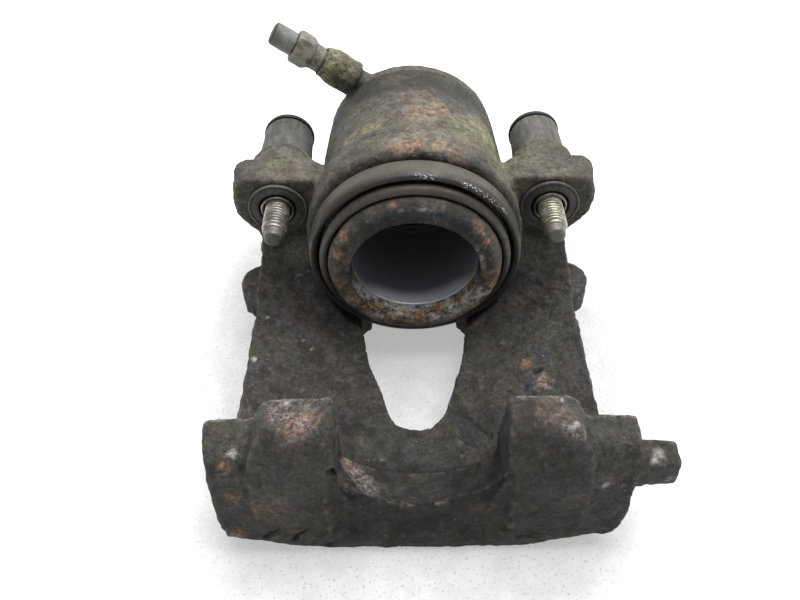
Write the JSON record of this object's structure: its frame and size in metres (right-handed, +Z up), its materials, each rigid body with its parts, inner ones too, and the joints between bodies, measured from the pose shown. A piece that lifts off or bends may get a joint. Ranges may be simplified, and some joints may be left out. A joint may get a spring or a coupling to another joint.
{
  "type": "brake caliper",
  "caption": "Floating disc brake caliper housing with piston, dust boot, guide pins in rubber bushes and a bleed screw.",
  "frame": {"origin": "on the flat at the back of the bridge, in the middle plane, 60 mm in front of the piston's open face", "axes": "+Y runs from the fingers to the closed end of the cylinder, parallel to the piston; +Z points up from the back of the bridge to the guide pins; +X points to the side with the end stub"},
  "size_m": [0.1275, 0.155, 0.0873],
  "materials": {
    "cast_iron": "rough cast iron, dark brown-grey with rust and road dirt",
    "piston_steel": "plated steel, rusty rim and satin cup",
    "seal_rubber": "smooth black",
    "boot_rubber": "smooth, dusty brown-black",
    "bush_rubber": "matte, dusty grey-brown",
    "sleeve_steel": "satin",
    "bolt_steel": "worn yellow zinc plating",
    "cap_plastic": "matte black",
    "bleeder_steel": "dull, dirty",
    "bleeder_cap_rubber": "matte grey"
  },
  "bodies": {
    "housing": {"housing": "cast_iron", "piston_seal": "seal_rubber", "dust_boot": "boot_rubber", "left_guide_bush": "bush_rubber", "right_guide_bush": "bush_rubber"},
    "piston": {"piston": "piston_steel"},
    "left_sleeve": {"left_guide_sleeve": "sleeve_steel"},
    "left_bolt": {"left_guide_bolt": "bolt_steel"},
    "left_cap": {"left_guide_cap": "cap_plastic"},
    "right_sleeve": {"right_guide_sleeve": "sleeve_steel"},
    "right_bolt": {"right_guide_bolt": "bolt_steel"},
    "right_cap": {"right_guide_cap": "cap_plastic"},
    "bleeder_screw": {"bleeder_screw": "bleeder_steel"},
    "bleeder_cap": {"bleeder_cap": "bleeder_cap_rubber"}
  },
  "joints": [
    {"name": "piston_slide", "type": "slide", "parent": "housing", "child": "piston", "axis": [0, -1, 0], "range_m": [-0.009, 0.019], "deforming": ["dust_boot"]},
    {"name": "left_sleeve_slide", "type": "slide", "parent": "housing", "child": "left_sleeve", "axis": [0, -1, 0], "range_m": [0, 0.012]},
    {"name": "left_bolt_spin", "type": "hinge", "parent": "left_sleeve", "child": "left_bolt", "pos_m": [-0.044, 0.116, 0.048], "axis": [0, 1, 0], "continuous": true},
    {"name": "left_cap_pull", "type": "slide", "parent": "housing", "child": "left_cap", "axis": [0, 1, 0], "range_m": [0, 0.015]},
    {"name": "right_sleeve_slide", "type": "slide", "parent": "housing", "child": "right_sleeve", "axis": [0, -1, 0], "range_m": [0, 0.012]},
    {"name": "right_bolt_spin", "type": "hinge", "parent": "right_sleeve", "child": "right_bolt", "pos_m": [0.044, 0.116, 0.048], "axis": [0, 1, 0], "continuous": true},
    {"name": "right_cap_pull", "type": "slide", "parent": "housing", "child": "right_cap", "axis": [0, 1, 0], "range_m": [0, 0.015]},
    {"name": "bleeder_turn", "type": "hinge", "parent": "housing", "child": "bleeder_screw", "pos_m": [-0.03644, 0.1325, 0.07767], "axis": [-0.8281, 0, 0.5606], "range_deg": [0, 360]},
    {"name": "bleeder_cap_pull", "type": "slide", "parent": "bleeder_screw", "child": "bleeder_cap", "axis": [-0.8281, 0, 0.5606], "range_m": [0, 0.01]}
  ]
}
